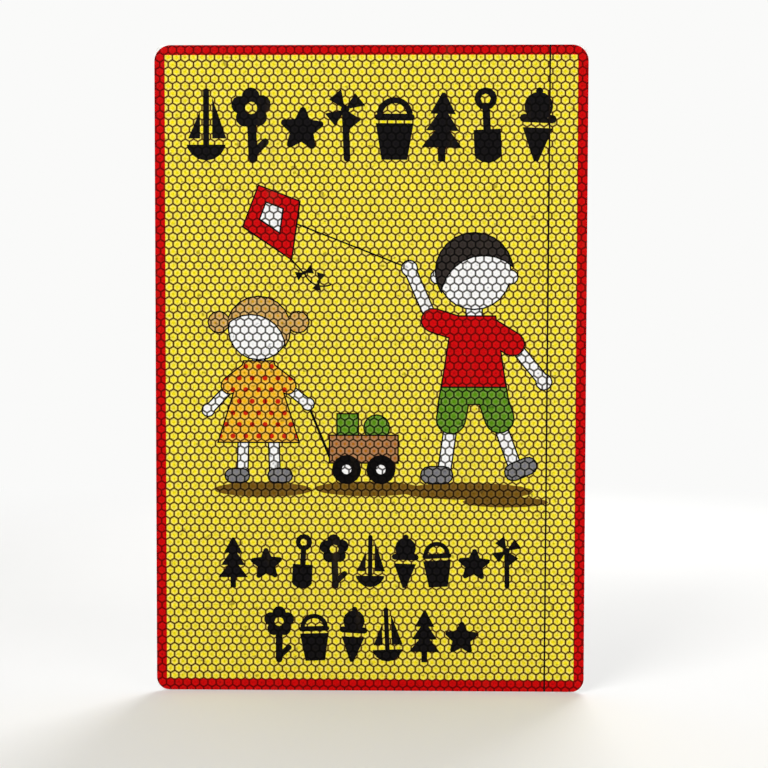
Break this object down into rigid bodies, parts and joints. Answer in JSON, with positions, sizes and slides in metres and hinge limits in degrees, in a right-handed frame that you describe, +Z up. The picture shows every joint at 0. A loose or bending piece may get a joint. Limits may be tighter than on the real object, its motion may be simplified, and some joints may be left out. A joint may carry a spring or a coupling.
{
  "type": "children at play sign",
  "caption": "Upright flat aluminium road sign: red border, yellow honeycomb reflective face, two playing children and rows of plain black marks.",
  "frame": {"origin": "centre of the plate's back face", "axes": "+Z up the sign, +X to the right as seen from its front, face towards -Y, back face towards +Y"},
  "size_m": [0.4, 0.0025, 0.6],
  "materials": {
    "plate": "mill finish, satin",
    "reflective_film": "white retroreflective, honeycomb cells",
    "red_print": "translucent red print",
    "yellow_print": "translucent yellow print",
    "black_print": "opaque black print",
    "green_print": "translucent green print",
    "orange_print": "translucent orange print",
    "tan_print": "translucent tan print",
    "brown_print": "translucent brown print",
    "grey_print": "translucent grey print",
    "shadow_print": "translucent olive brown print"
  },
  "bodies": {
    "root": {"plate": "plate", "reflective_film": "reflective_film", "red_border": "red_print", "yellow_field": "yellow_print", "black_marks": "black_print", "black_outlines": "black_print", "black_hair": "black_print", "red_print": "red_print", "green_print": "green_print", "orange_print": "orange_print", "dot_print": "red_print", "tan_print": "tan_print", "brown_print": "brown_print", "grey_print": "grey_print", "shadow_print": "shadow_print"}
  },
  "joints": []
}
